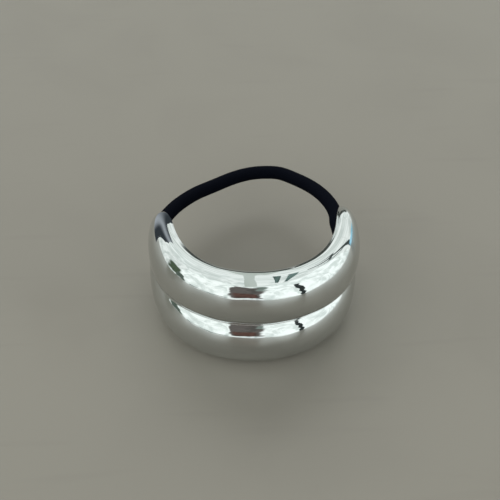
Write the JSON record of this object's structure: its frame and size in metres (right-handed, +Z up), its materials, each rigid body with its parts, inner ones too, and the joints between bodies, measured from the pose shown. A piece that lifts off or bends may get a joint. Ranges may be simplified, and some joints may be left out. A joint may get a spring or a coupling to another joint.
{
  "type": "hair tie",
  "caption": "Bright C-shaped ponytail cuff with horizontal bulging lobes, closed at the back by a round black elastic that runs through its hollow.",
  "frame": {"origin": "centre of the cuff's bounding box in X and Y, at the height of its lower crest", "axes": "+X to the right along the cuff's width, +Y from the cuff's front to its open side, +Z up through the ponytail's opening"},
  "size_m": [0.043, 0.0507, 0.0238],
  "materials": {
    "bright_plating": "mirror bright",
    "bright_strip": "bright",
    "black_elastic": "matt woven cover"
  },
  "bodies": {
    "root": {"cuff": "bright_plating", "keeper_left": "bright_strip", "keeper_right": "bright_strip", "elastic_inner": "black_elastic", "elastic_back": "black_elastic"}
  },
  "joints": []
}
